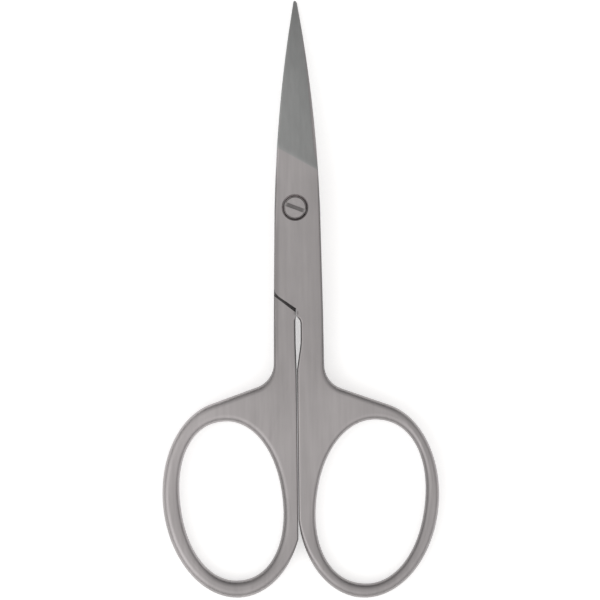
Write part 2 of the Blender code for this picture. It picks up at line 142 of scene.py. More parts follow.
TOP = 2 * HALF_THICKNESS      # the front face of the joint
HEAD_TOP = TOP + SCREW_HEAD_STANDS_OUT
HEAD_RADIUS = SCREW_HEAD_DIAMETER / 2
CONE_TOP = TOP - SCREW_HEAD_LAND
CONE_HEIGHT = (SCREW_HEAD_DIAMETER - SCREW_DIAMETER) / 2
RECESS_RIM = HEAD_RADIUS + RECESS_GAP + RECESS_CHAMFER

# Facets on round shapes
RING_POINTS = 144
SCREW_SIDES = 96
CORNER_STEPS = 8
ROUNDING_STEPS = 6
MITRE_LIMIT = 0.5             # least cosine used to lengthen a normal at a corner
SHARP_ANGLE = math.radians(35.0)
LEVEL = 0.99999               # a face belongs to a flat plate if its normal is this upright
PLATE_ANGLE = math.radians(12.0)    # normals at a plate's rim that lean less than this become its own

Ring = namedtuple("Ring", "reach hole_width hole_length hole_tilt outer_tilt inner_wall outer_wall "
                          "end_wall top_wall meeting rounding")
FRONT_RING = Ring(reach=HANDLE_LENGTH, hole_width=16.55 * MM, hole_length=24.7 * MM,
                  hole_tilt=math.radians(8.3), outer_tilt=math.radians(5.4), inner_wall=2.62 * MM,
                  outer_wall=2.08 * MM, end_wall=2.15 * MM, top_wall=2.7 * MM, meeting=0.1 * MM,
                  rounding=1.0 * MM)
BACK_RING = Ring(reach=HANDLE_LENGTH - RING_ENDS_STEP, hole_width=15.6 * MM, hole_length=24.0 * MM,
                 hole_tilt=math.radians(7.2), outer_tilt=math.radians(4.7), inner_wall=2.25 * MM,
                 outer_wall=2.6 * MM, end_wall=2.6 * MM, top_wall=3.1 * MM, meeting=0.7 * MM,
                 rounding=1.1 * MM)
RING_SQUARENESS = 2.14        # exponent of the hole's oval: 2 is an ellipse

Half = namedtuple("Half", "side offset relief ring")
FRONT = Half(side=1, offset=PIVOT_OFFSET, relief=FRONT_RELIEF, ring=FRONT_RING)
BACK = Half(side=-1, offset=-PIVOT_OFFSET, relief=BACK_RELIEF, ring=BACK_RING)

RimPoint = namedtuple("RimPoint", "x y rounding low high")

# Camera: the photograph looks along the pivot's axis from far away
PIXEL = 0.151 * MM            # at the joint's front face
IMAGE_SIDE = 600
PIVOT_PIXEL = (295.05, 207.6)
ROLL = 0.0108                 # radians that the tips lean to the left
LENS = 400.0                  # millimetres, on Blender's 36 mm sensor
SENSOR = 36.0
CLIP_START = 0.01


def mix(a, b, share):
    return a + (b - a) * share


def smooth_share(value, start, end):
    share = min(1.0, max(0.0, (value - start) / (end - start)))
    return share * share * (3.0 - 2.0 * share)


# Outline of the closed scissors, about the blades' centre line

def half_width(y):
    if y >= 0.0:
        share = (BLADE_LENGTH - y) / BLADE_LENGTH
        taper = mix(TIP_RADIUS, PIVOT_WIDTH / 2, share)
        return taper + 4 * BLADE_BULGE * share * (1 - share)
    if y >= SHOULDER_Y:
        return mix(PIVOT_WIDTH, SHOULDER_WIDTH, y / SHOULDER_Y) / 2
    return mix(SHOULDER_WIDTH, SHANK_WIDTH, min(1.0, (y - SHOULDER_Y) / (RELIEF_END_Y - SHOULDER_Y))) / 2


def edge_setback(y):
    full = mix(EDGE_SETBACK, TIP_SETBACK, smooth_share(y, GRIND_BACK_Y, BLADE_LENGTH))
    return full * smooth_share(y, GRIND_EDGE_Y, GRIND_EDGE_Y + SETBACK_RISE)


# Ground face: it starts on a straight line across the leaf and thins to the cutting edge and the tip

def runout(distance, length):
    return max(0.0, 1.0 - distance / length) ** 2


def back_height(share):
    distance = share * (BLADE_LENGTH - GRIND_BACK_Y)
    steady = mix(BACK_HEIGHT, BACK_TIP_HEIGHT, share)
    return steady + (HALF_THICKNESS - BACK_HEIGHT) * runout(distance, BACK_RUNOUT)


def edge_height(share):
    distance = share * (BLADE_LENGTH - GRIND_EDGE_Y)
    steady = mix(EDGE_HEIGHT, EDGE_TIP_HEIGHT, share)
    return steady + (HALF_THICKNESS - EDGE_HEIGHT) * runout(distance, EDGE_RUNOUT)


# Finger ring

def oval_axes(width, length, tilt):
    """Semi-axes of the tilted ellipse that is this wide and this long."""
    across = (width / 2) ** 2
    along = (length / 2) ** 2
    c2 = math.cos(tilt) ** 2
    s2 = math.sin(tilt) ** 2
    return (math.sqrt((across * c2 - along * s2) / (c2 - s2)),
            math.sqrt((along * c2 - across * s2) / (c2 - s2)))


class Oval:
    """An ellipse or squarer oval, its long axis along y and leaning to +x by its tilt."""

    def __init__(self, x, y, width, length, tilt, squareness=2.0):
        self.x = x
        self.y = y
        self.a, self.b = oval_axes(width, length, tilt)
        self.tilt = tilt
        self.power = 2.0 / squareness

    def point(self, angle):
        c, s = math.cos(angle), math.sin(angle)
        u = self.a * math.copysign(abs(c) ** self.power, c)
        v = self.b * math.copysign(abs(s) ** self.power, s)
        return (self.x + u * math.cos(self.tilt) + v * math.sin(self.tilt),
                self.y - u * math.sin(self.tilt) + v * math.cos(self.tilt))

    def angle_heading(self, heading):
        """Where an ellipse, run anticlockwise, heads this way."""
        turned = heading + self.tilt
        return math.atan2(-math.cos(turned) / self.a, math.sin(turned) / self.b)

    def angle_at_left(self, x):
        """Where an ellipse crosses this x on its lower left side."""
        reach = math.hypot(self.a * math.cos(self.tilt), self.b * math.sin(self.tilt))
        phase = math.atan2(-self.b * math.sin(self.tilt), self.a * math.cos(self.tilt))
        return math.pi + math.acos(min(1.0, (self.x - x) / reach)) - phase


def ring_hole(ring):
    width, length = ring.hole_width, ring.hole_length
    return Oval(HANDLE_GAP / 2 + ring.inner_wall + width / 2, -ring.reach + ring.end_wall + length / 2,
                width, length, ring.hole_tilt, RING_SQUARENESS)


def ring_outside(ring):
    width = ring.meeting + ring.inner_wall + ring.hole_width + ring.outer_wall
    length = ring.end_wall + ring.hole_length + ring.top_wall
    return Oval(HANDLE_GAP / 2 - ring.meeting + width / 2, -ring.reach + length / 2,
                width, length, ring.outer_tilt)


# Outline of one half

def rounded_corner(before, corner, after, radius):
    """Points of the arc that replaces a corner."""
    corner = Vector(corner)
    back = (Vector(before) - corner).normalized()
    onward = (Vector(after) - corner).normalized()
    half_angle = back.angle(onward) / 2
    tangent = radius / math.tan(half_angle)
    centre = corner + (back + onward).normalized() * (radius / math.sin(half_angle))
    start = (corner + back * tangent - centre).normalized()
    end = (corner + onward * tangent - centre).normalized()
    return [centre + radius * start.slerp(end, k / CORNER_STEPS) for k in range(CORNER_STEPS + 1)]


def handle_rounding(half, y):
    grown = smooth_share(RELIEF_END_Y - y, 0.0, ROUNDING_GROWTH)
    return mix(LEAF_ROUNDING, half.ring.rounding, grown)


def rim_point(half, point, rounding):
    """The handle thins from the top of the ring's hole to the ring's middle."""
    hole_foot = -half.ring.reach + half.ring.end_wall
    hole_top = hole_foot + half.ring.hole_length
    thinned = smooth_share(-point[1], -hole_top, -(hole_top + hole_foot) / 2)
    high = mix(HALF_THICKNESS, RING_THICKNESS / 2, thinned)
    return RimPoint(point[0], point[1], rounding, -high, high)


def leaf_side(half, sign, y):
    return (half.offset + sign * half_width(y), y)


def leaf_end_y(x):
    """The leaf's lower end, clear of the other half's shoulder wall by a gap that narrows outwards."""
    outward = min(1.0, max(0.0, -x / (SHOULDER_WIDTH / 2)))
    gap = mix(SHOULDER_GAP_INNER, SHOULDER_GAP_OUTER, outward)
    return SHOULDER_Y - x * math.tan(SHOULDER_ANGLE) + gap / math.cos(SHOULDER_ANGLE)


def handle_rim(half):
    """From the grind's start at the blade's back, down round the finger ring, to its start at the edge."""
    inner = HANDLE_GAP / 2
    relieved = inner + half.relief
    outside = ring_outside(half.ring)

    leaf_middle = leaf_side(half, -1, 0.0)
    outer_corner = leaf_side(half, -1, leaf_end_y(half.offset - SHOULDER_WIDTH / 2))
    inner_corner = (inner, leaf_end_y(inner))
    relief_land = (inner, RELIEF_LAND_Y)
    relief_start = (relieved, RELIEF_START_Y)
    relief_end = (relieved, RELIEF_END_Y)
    relief_foot = (inner, RELIEF_END_Y - RELIEF_TAPER)

    points = [rim_point(half, leaf_side(half, -1, GRIND_BACK_Y), LEAF_ROUNDING)]
    points.append(rim_point(half, leaf_side(half, -1, min(BEND_START, GRIND_BACK_Y / 2)), LEAF_ROUNDING))
    points.append(rim_point(half, leaf_middle, LEAF_ROUNDING))
    for point in rounded_corner(leaf_middle, outer_corner, inner_corner, OUTER_CORNER_RADIUS):
        points.append(rim_point(half, point, LEAF_END_ROUNDING))
    for point in rounded_corner(outer_corner, inner_corner, relief_land, INNER_CORNER_RADIUS):
        points.append(rim_point(half, point, LEAF_END_ROUNDING))
    points.append(rim_point(half, relief_land, LEAF_END_ROUNDING))
    for point in rounded_corner(relief_land, relief_start, relief_end, RELIEF_START_RADIUS):
        points.append(rim_point(half, point, INNER_ROUNDING))
    for point in rounded_corner(relief_start, relief_end, relief_foot, RELIEF_END_RADIUS):
        points.append(rim_point(half, point, INNER_ROUNDING))
    points.append(rim_point(half, relief_foot, INNER_ROUNDING))

    first = outside.angle_at_left(inner)
    last = outside.angle_heading(math.pi - RING_SHOULDER_SLOPE) + 2 * math.pi
    steps = round(RING_POINTS * (last - first) / (2 * math.pi))
    for k in range(steps + 1):
        point = outside.point(mix(first, last, k / steps))
        grown = min(1.0, k / steps / RING_BLEND)
        points.append(rim_point(half, point, mix(INNER_ROUNDING, handle_rounding(half, point[1]), grown)))

    ring_top = outside.point(last)
    side_x = half.offset + half_width(RELIEF_END_Y)
    corner = (side_x, ring_top[1] + (ring_top[0] - side_x) * math.tan(RING_SHOULDER_SLOPE))
    shoulder = (side_x, SHOULDER_Y)
    for point in rounded_corner(ring_top, corner, shoulder, RING_SHOULDER_RADIUS):
        points.append(rim_point(half, point, handle_rounding(half, point[1])))
    points.append(rim_point(half, leaf_side(half, 1, SHOULDER_Y), LEAF_ROUNDING))
    points.append(rim_point(half, leaf_side(half, 1, 0.0), LEAF_ROUNDING))
    points.append(rim_point(half, leaf_side(half, 1, GRIND_EDGE_Y), GRIND_EDGE_ROUNDING))
    return points


def blade_rim(half):
    """The blade's back from the grind's start to the tip, and its cutting edge, rung by rung."""
    cap_y = BLADE_LENGTH - TIP_RADIUS
    backs = []
    edges = []
    for k in range(1, GRIND_STEPS + 1):
        share = k / GRIND_STEPS
        y = mix(GRIND_BACK_Y, cap_y, share)
        x = half.offset - half_width(y)
        rounding = min(GRIND_BACK_ROUNDING, half_width(y) * GRIND_BACK_SHARE)
        backs.append(RimPoint(x, y, rounding, -HALF_THICKNESS, back_height(share)))
        y = mix(GRIND_EDGE_Y, cap_y, share)
        x = half.offset + half_width(y) - edge_setback(y)
        edges.append(RimPoint(x, y, CUTTING_EDGE_ROUNDING, -HALF_THICKNESS, edge_height(share)))
    return backs, edges


def tip_cap(back, edge):
    """Points round the tip, from the cutting edge to the blade's back."""
    centre_x = (back.x + edge.x) / 2
    radius = (edge.x - back.x) / 2
    points = []
    for k in range(1, CORNER_STEPS):
        share = k / CORNER_STEPS
        angle = math.pi * share
        points.append(RimPoint(centre_x + radius * math.cos(angle), edge.y + radius * math.sin(angle),
                               mix(edge.rounding, back.rounding, share), -HALF_THICKNESS,
                               mix(edge.high, back.high, share)))
    return points


# Meshes

def inward_normals(rim):
    """Each point's unit inward normal, lengthened at corners so that the sides move in evenly."""
    normals = []
    for before, point, after in zip(rim[-1:] + rim[:-1], rim, rim[1:] + rim[:1]):
        into = (Vector((point.x - before.x, point.y - before.y))).normalized()
        out = (Vector((after.x - point.x, after.y - point.y))).normalized()
        left = (Vector((-into.y, into.x)) + Vector((-out.y, out.x))).normalized()
        normals.append(left / max(MITRE_LIMIT, left.dot(Vector((-out.y, out.x)))))
    return normals


def placed(half, x, y, z):
    """A point of a half's outline frame in the world, with the blade's curve."""
    height = half.side * z
    if y > BEND_START:
        turn = (y - BEND_START) / BEND_RADIUS
        radius = BEND_RADIUS + height
        y = BEND_START + radius * math.sin(turn)
        height = radius * math.cos(turn) - BEND_RADIUS
    return Vector((half.side * x, y, HALF_THICKNESS + height))


def rim_loops(mesh, half, rim):
    """The rounded side wall of an outline, as loops of vertices from its low face to its high one."""
    normals = inward_normals(rim)
    quarter = [k / ROUNDING_STEPS * math.pi / 2 for k in range(ROUNDING_STEPS + 1)]
    levels = [(angle, -1) for angle in quarter] + [(angle, 1) for angle in reversed(quarter)]
    loops = []
    for angle, end in levels:
        loop = []
        for point, normal in zip(rim, normals):
            inset = point.rounding * (1 - math.sin(angle))
            drop = point.rounding * (1 - math.cos(angle))
            z = point.high - drop if end > 0 else point.low + drop
            loop.append(mesh.verts.new(placed(half, point.x + normal.x * inset,
                                              point.y + normal.y * inset, z)))
        loops.append(loop)
    for lower, upper in zip(loops, loops[1:]):
        for k in range(len(rim)):
            mesh.faces.new((lower[k - 1], lower[k], upper[k], upper[k - 1]))
    return loops


def edge_between(mesh, a, b):
    return mesh.edges.get((a, b)) or mesh.edges.new((a, b))


def closed_edges(mesh, loop):
    return [edge_between(mesh, loop[k - 1], loop[k]) for k in range(len(loop))]


def fill_face(mesh, loop, hole_loop, face_rims, first):
    """Rungs across the blade, and a flat plate for the rest, from the handle rim's first point given on."""
    handle, rungs, cap = face_rims
    edge_verts = loop[handle - 1:handle + rungs]
    back_verts = [loop[0]] + loop[:handle + rungs + cap - 1:-1]
    for k in range(rungs):
        mesh.faces.new((back_verts[k], edge_verts[k], edge_verts[k + 1], back_verts[k + 1]))
    mesh.faces.new(loop[handle + rungs - 1:handle + rungs + cap + 1])
    for k in range(first):
        mesh.faces.new((loop[k], loop[k + 1], loop[handle - 1]))
    plate = [edge_between(mesh, loop[k - 1], loop[k]) for k in range(first + 1, handle)]
    plate.append(edge_between(mesh, loop[handle - 1], loop[first]))
    bmesh.ops.triangle_fill(mesh, use_beauty=True, edges=plate + closed_edges(mesh, hole_loop))


def half_blank(name, half):
    """The forging before its joint is cut: the whole outline at full thickness, with the blade ground."""
    mesh = bmesh.new()
    handle = handle_rim(half)
    backs, edges = blade_rim(half)
    cap = tip_cap(backs[-1], edges[-1])
    rim = handle + edges + cap + backs[::-1]
    loops = rim_loops(mesh, half, rim)

    hole = ring_hole(half.ring)
    hole_rim = []
    for k in range(RING_POINTS):
        point = hole.point(-2 * math.pi * k / RING_POINTS)
        hole_rim.append(rim_point(half, point, half.ring.rounding))
    hole_loops = rim_loops(mesh, half, hole_rim)

    face_rims = (len(handle), len(edges), len(cap))
    fill_face(mesh, loops[0], hole_loops[0], face_rims, 1)
    fill_face(mesh, loops[-1], hole_loops[-1], face_rims, 0)
    bmesh.ops.recalc_face_normals(mesh, faces=mesh.faces)
    return as_object(name, mesh)


def hollow_depth(y, share):
    """How deep the inner face lies under its lands, share of the way across the hollow."""
    fade_in = smooth_share(y, HOLLOW_START, HOLLOW_FULL)
    narrowing = max(0.0, half_width(y) - HOLLOW_LAND) / (half_width(HOLLOW_START) - HOLLOW_LAND)
    return HOLLOW_DEPTH * fade_in * narrowing * 4 * share * (1 - share)


def lap_row(half, y):
    """Points across the inner face at y, as (x, height over the lap plane)."""
    reach = SHOULDER_WIDTH
    width = max(half_width(y) - HOLLOW_LAND, edge_setback(y), HOLLOW_LEAST)
    row = [(-reach, LAP_GAP / 2)]
    for k in range(HOLLOW_STEPS + 1):
        share = k / HOLLOW_STEPS
        x = half.offset + mix(-width, width - edge_setback(y), share)
        row.append((x, LAP_GAP / 2 + hollow_depth(y, share)))
    row.append((reach, LAP_GAP / 2))
    return row


def lap_cutter(name, half):
    """What is cut away under the leaf and the blade, up to the shoulder that the other leaf closes on."""
    bottom = -2 * HALF_THICKNESS
    stations = [mix(BEND_START, BLADE_LENGTH, k / BEND_STATIONS) for k in range(BEND_STATIONS + 3)]

    mesh = bmesh.new()
    sections = []
    for y in [SHOULDER_Y] + stations:
        slant = math.tan(SHOULDER_ANGLE) if y == SHOULDER_Y else 0.0
        upper = []
        lower = []
        for x, z in lap_row(half, y):
            upper.append(mesh.verts.new(placed(half, x, y + x * slant, z)))
            lower.append(mesh.verts.new(placed(half, x, y + x * slant, bottom)))
        sections.append(upper + lower[::-1])
    for near, far in zip(sections, sections[1:]):
        for k in range(len(near)):
            mesh.faces.new((near[k - 1], near[k], far[k], far[k - 1]))
    mesh.faces.new(sections[0])
    mesh.faces.new(sections[-1])
    bmesh.ops.recalc_face_normals(mesh, faces=mesh.faces)
    return as_object(name, mesh)


def turned(name, profile):
    """A solid turned about the pivot's axis from (radius, z) pairs, bottom to top."""
    mesh = bmesh.new()
    rings = []
    for radius, z in profile:
        ring = []
        for k in range(SCREW_SIDES):
            angle = 2 * math.pi * k / SCREW_SIDES
            ring.append(mesh.verts.new((radius * math.cos(angle), radius * math.sin(angle), z)))
        rings.append(ring)
    for lower, upper in zip(rings, rings[1:]):
        for k in range(SCREW_SIDES):
            mesh.faces.new((lower[k - 1], lower[k], upper[k], upper[k - 1]))
    mesh.faces.new(rings[0][::-1])
    mesh.faces.new(rings[-1])
    return as_object(name, mesh)


def as_object(name, mesh):
    data = bpy.data.meshes.new(name)
    mesh.to_mesh(data)
    mesh.free()
    new = bpy.data.objects.new(name, data)
    bpy.context.scene.collection.objects.link(new)
    return new


def carved(body, *cutters):
    """The body with the cutters' shapes taken out of its mesh."""
    for cutter in cutters:
        modifier = body.modifiers.new(cutter.name, "BOOLEAN")
        modifier.operation = "DIFFERENCE"
        modifier.solver = "EXACT"
        modifier.object = cutter
    bpy.context.view_layer.update()
    shape = bpy.data.meshes.new_from_object(body.evaluated_get(bpy.context.evaluated_depsgraph_get()))
    body.modifiers.clear()
    body.data = shape
    for cutter in cutters:
        bpy.data.objects.remove(cutter, do_unlink=True)
    return body


def pivot_screw():
    shank = SCREW_DIAMETER / 2
    head = HEAD_RADIUS
    chamfer = SCREW_HEAD_CHAMFER
    screw = turned("turned_pivot_screw", [(shank - chamfer, 0.0), (shank, chamfer),
                                          (shank, CONE_TOP - CONE_HEIGHT), (head, CONE_TOP),
                                          (head, HEAD_TOP - chamfer), (head - chamfer, HEAD_TOP)])
    mesh = bmesh.new()
    bmesh.ops.create_cube(mesh, size=1.0)
    slot = as_object("slot_cutter", mesh)
    slot.data.transform(Matrix.Diagonal((2 * SCREW_HEAD_DIAMETER, SCREW_SLOT_WIDTH,
                                         2 * SCREW_SLOT_DEPTH, 1.0)))
    slot.location = (0.0, 0.0, HEAD_TOP)
    slot.rotation_euler = (0.0, 0.0, SCREW_SLOT_ANGLE)
    return carved(screw, slot)


def countersink_cutter():
    bore = SCREW_DIAMETER / 2 + SCREW_RUNNING_GAP
    recess = HEAD_RADIUS + RECESS_GAP
    seat_drop = SCREW_RUNNING_GAP * (math.sqrt(2) - 1)
    cone_foot = CONE_TOP - CONE_HEIGHT - seat_drop
    cone_head = cone_foot + recess - bore
    outside = TOP + HALF_THICKNESS
    rim = RECESS_RIM + outside - TOP
    return turned("countersink_cutter", [(bore, -HALF_THICKNESS), (bore, cone_foot),
                                         (recess, cone_head), (recess, TOP - RECESS_CHAMFER),
                                         (rim, outside)])


def thread_cutter():
    hole = SCREW_DIAMETER / 2 + SCREW_THREAD_GAP
    return turned("thread_cutter", [(hole, -HALF_THICKNESS), (hole, TOP + HALF_THICKNESS)])


def smooth(piece):
    """Roundings turn smoothly, sharp edges stay sharp, and flat plates are level right up to their rim."""
    mesh = piece.data
    mesh.shade_smooth()
    mesh.set_sharp_from_angle(angle=SHARP_ANGLE)
    plates = {}
    for face in mesh.polygons:
        if abs(face.normal.z) > LEVEL:
            upright = Vector((0.0, 0.0, math.copysign(1.0, face.normal.z)))
            for vertex in face.vertices:
                plates[vertex] = upright
    normals = []
    for corner, loop in zip(mesh.corner_normals, mesh.loops):
        normal = corner.vector.copy()
        plate = plates.get(loop.vertex_index)
        if plate is not None and normal.angle(plate) < PLATE_ANGLE:
            normal = plate
        normals.append(normal)
    mesh.normals_split_custom_set(normals)
    return piece


# Materials

Noise = namedtuple("Noise", "scale detail stretch roughness")
Finish = namedtuple("Finish", "roughness streaks clouds grain_depth")

STEEL_COLOUR = (0.39, 0.372, 0.374)
GROUND_CHANGE = (-0.16, -0.10, -0.107)    # of that colour, on the blades' ground faces
UNCHANGED = (1.0, 1.0, 1.0)
GROUND_LINE_BLUR = 0.1 * MM               # on each side of the line where the grind starts
GROUND_HEIGHTS = (0.12 * MM, 0.18 * MM)   # over the lap plane: between them the ground face takes over

SATIN = Finish(roughness=0.42, streaks=Noise(1500.0, 3.0, (1.0, 0.06, 1.0), 0.6),
               clouds=Noise(160.0, 3.0, (1.0, 0.6, 1.0), 0.5), grain_depth=0.004 * MM)
TURNED = Finish(roughness=0.34, streaks=Noise(2500.0, 3.0, (1.0, 1.0, 1.0), 0.6),
                clouds=Noise(1200.0, 3.0, (1.0, 0.6, 1.0), 0.5), grain_depth=0.003 * MM)
SPECKLE = Noise(9000.0, 2.0, (1.0, 1.0, 1.0), 0.5)
MARKS = Noise(700.0, 4.0, (1.0, 0.15, 1.0), 0.7)
NOISE_SPAN = (0.3, 0.7)                   # most of a noise's values lie between these
CLOUD_TONES = (0.94, 1.06)
STREAK_TONES = (-0.05, 0.05)
SPECKLE_ROUGHNESS = 0.03                  # above and below the finish's own
SPECKLE_DEPTH = 0.6                       # as a share of the grain's
MARKS_SPAN = (0.55, 0.75)
MARKS_ROUGHNESS = -0.08

# Ramps of tone. Each runs over a place on the part: it is first up to start, and last from end on.
Ramp = namedtuple("Ramp", "place start end first last")

FRONT_LEAF = Ramp("z", HALF_THICKNESS, HALF_THICKNESS + 0.1 * MM, 0.0, 1.0)
UNDER_HEAD_TOP = Ramp("z", HEAD_TOP - 0.25 * MM, HEAD_TOP - 0.05 * MM, 1.0, 0.0)

# Painted light in the groove round the screw's head: its walls are made lighter against the groove's shade,
# most at the upper left, fading to painted shade at its lower right
LOWER_RIGHT = (0.5, -0.87)
GROOVE_LIGHT_AND_SHADE = Ramp("lower right", -HEAD_RADIUS, HEAD_RADIUS, 1.3, 0.5)
RECESS_PAINTED_LIGHT = [Ramp("off axis", RECESS_RIM, RECESS_RIM + 0.1 * MM, 1.0, 0.0),
              Ramp("z", TOP - 0.1 * MM, TOP - 0.01 * MM, 1.0, 0.0),
              FRONT_LEAF, GROOVE_LIGHT_AND_SHADE]
HEAD_RIM_PAINTED_LIGHT = [Ramp("off axis", HEAD_RADIUS - 0.1 * MM, HEAD_RADIUS - 0.05 * MM, 0.0, 1.0),
                UNDER_HEAD_TOP, FRONT_LEAF, GROOVE_LIGHT_AND_SHADE]

# Painted shade in the screw's slot, in the gap at the shoulder, and round the right and lower right of the
# rings' holes: what they take from the tone
SLOT_PAINTED_SHADE = [Ramp("off axis", 0.7 * HEAD_RADIUS, 0.95 * HEAD_RADIUS, 0.52, 0.0),
             UNDER_HEAD_TOP, FRONT_LEAF]
# Painted shade in the deep, narrow gap where a leaf ends at the other half's shoulder
SHOULDER_PAINTED_SHADE = [Ramp("off shoulder", 0.4 * MM, 0.8 * MM, 1.0, 0.0),
                 Ramp("off lap plane", 0.8 * MM, 1.3 * MM, 1.0, 0.0),
                 Ramp("off middle", 0.5 * MM, 3.0 * MM, 0.75, 0.5)]
SHOULDER_FOOT_PAINTED_SHADE = [Ramp("off shoulder's foot", 0.2 * MM, 0.5 * MM, 0.35, 0.0)]
# Painted shade on the rim of each ring's hole at its right and lower right, where the rim faces left
HOLE_SHADED_SIDE = (0.95, -0.3)
HOLE_RIM_PAINTED_SHADE = [Ramp("times the hole", 1.06, 1.15, 1.0, 0.0), Ramp("hole's right", -0.1, 0.8, 0.0, 0.24)]

# Painted light and shade: broad lighter and darker patches, where more or less light falls, whose values
# add up
PAINTED_LIGHT_AND_SHADE = [
    # Lighter next to the grind, and on the rings
    [Ramp("y", -6.0 * MM, 7.0 * MM, 0.0, 0.07)],
    [Ramp("y", -40.0 * MM, -24.0 * MM, 0.03, 0.0)],
    # Lighter still on the left ring, above its lower end
    [Ramp("x", -13.0 * MM, -5.0 * MM, 0.10, 0.0), Ramp("y", -58.0 * MM, -54.0 * MM, 0.0, 1.0)],
    # And where the shanks run out into the rings, but for the right one's far side
    [Ramp("off middle", 3.0 * MM, 5.0 * MM, 0.0, 0.07), Ramp("x", 11.0 * MM, 14.0 * MM, 1.0, 0.0),
     Ramp("y", -29.0 * MM, -26.0 * MM, 1.0, 0.0), Ramp("y", -38.0 * MM, -34.0 * MM, 0.0, 1.0)],
    # Darker at the right ring's lower end
    [Ramp("y", -57.0 * MM, -46.0 * MM, -0.10, 0.0), Ramp("x", -6.0 * MM, 2.0 * MM, 0.0, 1.0)],
    # Darker down the right side of the leaf and the shanks
    [Ramp("x", -1.0 * MM, 3.5 * MM, 0.0, -0.10), Ramp("y", -34.0 * MM, -22.0 * MM, 0.0, 1.0)],
]

# Painted shade where the edges of the leaf and the shanks turn away from the light: the darkest of these
# counts
EDGE_ENDS = [Ramp("y", 3.0 * MM, 7.0 * MM, 1.0, 0.0), Ramp("y", -30.0 * MM, -21.0 * MM, 0.0, 1.0)]
SIDE_EDGE_SHADE = Ramp("uprightness", 0.965, 0.9995, -0.30, 0.0)
PAINTED_EDGE_SHADE = [
    [Ramp("uprightness", 0.75, 0.985, -0.40, 0.0)] + EDGE_ENDS,
    [SIDE_EDGE_SHADE, Ramp("x", -3.0 * MM, -1.5 * MM, 1.0, 0.0)] + EDGE_ENDS,
    [SIDE_EDGE_SHADE, Ramp("x", 1.5 * MM, 3.0 * MM, 0.0, 0.4)] + EDGE_ENDS,
    # Painted shade in a strip down the left side, from the screw to the window's lower end
    [Ramp("in from the left", -2.6 * MM, -2.25 * MM, -0.2, 0.0), Ramp("y", -4.0 * MM, 2.0 * MM, 1.0, 0.0),
     Ramp("y", -23.5 * MM, -21.5 * MM, 0.0, 1.0)],
]


class Nodes:
    """Short calls for a node tree."""

    def __init__(self, tree):
        self.tree = tree

    def put(self, node, key, value):
        socket = node.inputs[key]
        if isinstance(value, bpy.types.NodeSocket):
            self.tree.links.new(value, socket)
        else:
            socket.default_value = value

    def node(self, kind, **inputs):
        new = self.tree.nodes.new(kind)
        for key, value in inputs.items():
            self.put(new, key.replace("_", " "), value)
        return new

    def operated(self, kind, operation, a, b):
        new = self.tree.nodes.new(kind)
        new.operation = operation
        self.put(new, 0, a)
        self.put(new, 1, b)
        return new

    def math(self, operation, a, b=0.0):
        return self.operated("ShaderNodeMath", operation, a, b).outputs[0]

    def fold(self, operation, values):
        """The values taken in turn: with "ADD" it is their sum."""
        return reduce(lambda a, b: self.math(operation, a, b), values)

    def vector(self, operation, a, b):
        return self.operated("ShaderNodeVectorMath", operation, a, b).outputs["Vector"]

    def dot(self, a, b):
        return self.operated("ShaderNodeVectorMath", "DOT_PRODUCT", a, b).outputs["Value"]

    def weighted(self, weights, a, b):
        return self.math("ADD", self.math("MULTIPLY", a, weights[0]), self.math("MULTIPLY", b, weights[1]))

    def distance(self, a, b):
        """How far the point (a, b) is from (0, 0)."""
        squares = self.math("ADD", self.math("MULTIPLY", a, a), self.math("MULTIPLY", b, b))
        return self.math("SQRT", squares)

    def apart(self, a, b):
        return self.math("ABSOLUTE", self.math("SUBTRACT", a, b))

    def split(self, vector):
        parts = self.node("ShaderNodeSeparateXYZ", Vector=vector).outputs
        return parts["X"], parts["Y"], parts["Z"]

    def ranged(self, value, start, end, first, last, interpolation="LINEAR"):
        new = self.node("ShaderNodeMapRange", Value=value, From_Min=start, From_Max=end, To_Min=first,
                        To_Max=last)
        new.interpolation_type = interpolation
        return new.outputs[0]

    def noise(self, where, noise):
        mapping = self.node("ShaderNodeMapping", Vector=where, Scale=noise.stretch)
        return self.node("ShaderNodeTexNoise", Vector=mapping.outputs[0], Scale=noise.scale,
                         Detail=noise.detail, Roughness=noise.roughness).outputs["Fac"]

    def ramped(self, places, ramps):
        """The product of the ramps."""
        return self.fold("MULTIPLY", [self.ranged(places[place], *levels) for place, *levels in ramps])


def new_material(name):
    """A material, its nodes and its shader."""
    material = bpy.data.materials.new(name)
    material.use_nodes = True
    tree = material.node_tree
    return material, Nodes(tree), tree.nodes["Principled BSDF"]


def shared_places(nodes, where):
    """What the ramps of the halves and of the screw run over, in the part's frame."""
    x, y, z = nodes.split(where)
    return {"x": x, "y": y, "z": z, "off axis": nodes.distance(x, y),
            "lower right": nodes.weighted(LOWER_RIGHT, x, y)}


def half_places(nodes, shared):
    """What more the ramps of a half run over."""
    x, y = shared["x"], shared["y"]
    off_middle = nodes.math("ABSOLUTE", x)
    in_line = nodes.weighted((-math.tan(SHOULDER_ANGLE), 1.0), off_middle, y)
    side_slope = (SHOULDER_WIDTH - PIVOT_WIDTH) / 2 / SHOULDER_Y
    normal = nodes.split(nodes.node("ShaderNodeTexCoord").outputs["Normal"])
    return {**shared,
            "off middle": off_middle,
            "off shoulder": nodes.apart(in_line, SHOULDER_Y + SHOULDER_GAP_INNER / 2),
            "off lap plane": nodes.apart(shared["z"], HALF_THICKNESS),
            "off shoulder's foot": nodes.distance(x, nodes.math("SUBTRACT", y, SHOULDER_Y)),
            "in from the left": nodes.weighted((1.0, side_slope), x, y),
            "uprightness": nodes.math("ABSOLUTE", normal[2])}


